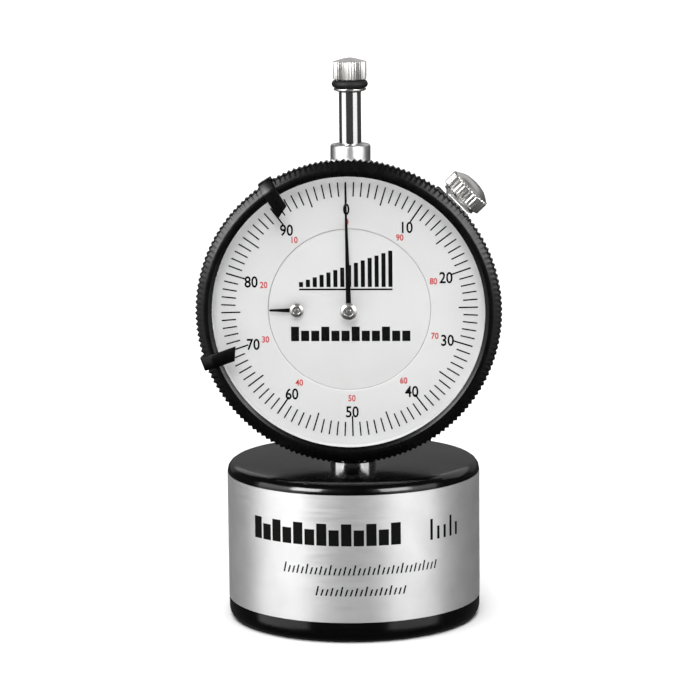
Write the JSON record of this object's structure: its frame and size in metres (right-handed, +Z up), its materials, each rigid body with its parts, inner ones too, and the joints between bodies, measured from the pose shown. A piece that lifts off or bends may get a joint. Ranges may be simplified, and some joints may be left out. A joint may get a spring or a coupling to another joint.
{
  "type": "drum tension gauge",
  "caption": "Dial gauge for drum head tension: round dial with turning bezel and limit clips, on a stem in a heavy round base with a sprung spindle through it.",
  "frame": {"origin": "centre of the base's underside, on the axis of the stem and spindle", "axes": "+Z up along the spindle, -Y towards the reader in front of the dial, +X to the reader's right"},
  "size_m": [0.0604, 0.0509, 0.1126],
  "materials": {
    "black_enamel": "gloss black enamel with slight orange peel",
    "bezel_black": "satin black anodised, fine turned lines, knurled band",
    "brushed_label": "brushed silver foil with black print",
    "crystal": "clear flat window",
    "rubber": "black rubber",
    "dial_face": "off-white matte with black and red print",
    "clip_black": "blackened spring steel",
    "chrome": "polished",
    "cap_chrome": "satin chrome, knurled",
    "satin_steel": "satin",
    "hand_black": "matte black",
    "brass": "machined",
    "spring_steel": "bright spring steel"
  },
  "bodies": {
    "stand": {"base_weight": "black_enamel", "base_label": "brushed_label", "stem_set_screw": "satin_steel", "stem": "chrome", "lower_bushing": "brass", "upper_collar": "satin_steel", "upper_bushing": "brass", "case_body": "black_enamel", "back_cover": "black_enamel", "back_screw_1": "satin_steel", "back_screw_2": "satin_steel", "back_screw_3": "satin_steel", "back_screw_4": "satin_steel", "centre_dial": "dial_face", "front_plate": "brass", "plate_screw_1": "satin_steel", "plate_screw_2": "satin_steel", "plate_screw_3": "satin_steel", "bridge_plate": "brass", "pillar_1": "brass", "pillar_2": "brass", "pillar_3": "brass", "guide_bracket": "brass", "arbor_cock": "brass", "hairspring": "spring_steel", "hairspring_stud": "brass", "bezel_wire_ring": "spring_steel"},
    "bezel": {"bezel": "bezel_black", "crystal": "crystal", "crystal_gasket": "dial_face", "dial_ring": "dial_face", "dial_snap_ring": "satin_steel"},
    "upper_clip": {"limit_clip_upper": "clip_black"},
    "lower_clip": {"limit_clip_lower": "clip_black"},
    "clamp_shoe": {"clamp_shoe": "satin_steel"},
    "clamp_knob": {"clamp_knob": "cap_chrome"},
    "spindle": {"spindle": "chrome", "contact_foot": "satin_steel", "spindle_cap": "cap_chrome", "cap_o_ring": "rubber", "guide_pin": "satin_steel", "spring_collar": "satin_steel", "return_spring": "spring_steel"},
    "pointer": {"centre_pinion": "satin_steel", "pointer_hand": "hand_black", "pointer_hub": "chrome"},
    "rack_arbor": {"rack_pinion": "satin_steel", "drive_gear": "brass", "transfer_gear": "brass"},
    "rev_hand": {"rev_gear": "brass", "rev_hand": "hand_black", "rev_hub": "chrome"},
    "take_up": {"take_up_gear": "brass"}
  },
  "joints": [
    {"name": "spindle_slide", "type": "slide", "parent": "stand", "child": "spindle", "axis": [0, 0, 1], "range_m": [-0.00508, 0.00127], "stiffness_N_per_m": 60, "springref_m": -0.022, "deforming": ["return_spring"]},
    {"name": "pointer_turn", "type": "hinge", "parent": "stand", "child": "pointer", "pos_m": [0, -0.0119, 0.06363], "axis": [0, 1, 0], "range_deg": [-721, 181]},
    {"name": "rack_arbor_turn", "type": "hinge", "parent": "stand", "child": "rack_arbor", "pos_m": [-0.00579, -0.005, 0.05428], "axis": [0, 1, 0], "range_deg": [-19, 73]},
    {"name": "rev_hand_turn", "type": "hinge", "parent": "stand", "child": "rev_hand", "pos_m": [-0.01035, -0.01, 0.06363], "axis": [0, 1, 0], "range_deg": [-73, 19]},
    {"name": "take_up_turn", "type": "hinge", "parent": "stand", "child": "take_up", "pos_m": [0.00778, -0.005, 0.05585], "axis": [0, 1, 0], "range_deg": [-19, 73]},
    {"name": "bezel_turn", "type": "hinge", "parent": "stand", "child": "bezel", "pos_m": [0, -0.01, 0.06363], "axis": [0, 1, 0], "continuous": true},
    {"name": "upper_clip_slide", "type": "hinge", "parent": "bezel", "child": "upper_clip", "pos_m": [0, -0.014, 0.06363], "axis": [0, 1, 0], "range_deg": [-34, 130]},
    {"name": "lower_clip_slide", "type": "hinge", "parent": "bezel", "child": "lower_clip", "pos_m": [0, -0.014, 0.06363], "axis": [0, 1, 0], "range_deg": [-130, 34]},
    {"name": "clamp_shoe_slide", "type": "slide", "parent": "stand", "child": "clamp_shoe", "axis": [0.7193, 0, 0.6947], "range_m": [0, 0.00075]},
    {"name": "clamp_knob_turn", "type": "hinge", "parent": "clamp_shoe", "child": "clamp_knob", "pos_m": [0.02158, -0.0005, 0.08447], "axis": [0.7193, 0, 0.6947], "range_deg": [-1, 541]}
  ],
  "couplings": [
    {"joint": "pointer_turn", "follows": "spindle_slide", "rad_per_m": 2473.7},
    {"joint": "rack_arbor_turn", "follows": "spindle_slide", "rad_per_m": -247.37},
    {"joint": "rev_hand_turn", "follows": "spindle_slide", "rad_per_m": 247.37},
    {"joint": "take_up_turn", "follows": "spindle_slide", "rad_per_m": -247.37},
    {"joint": "clamp_knob_turn", "follows": "clamp_shoe_slide", "rad_per_m": 12566}
  ]
}
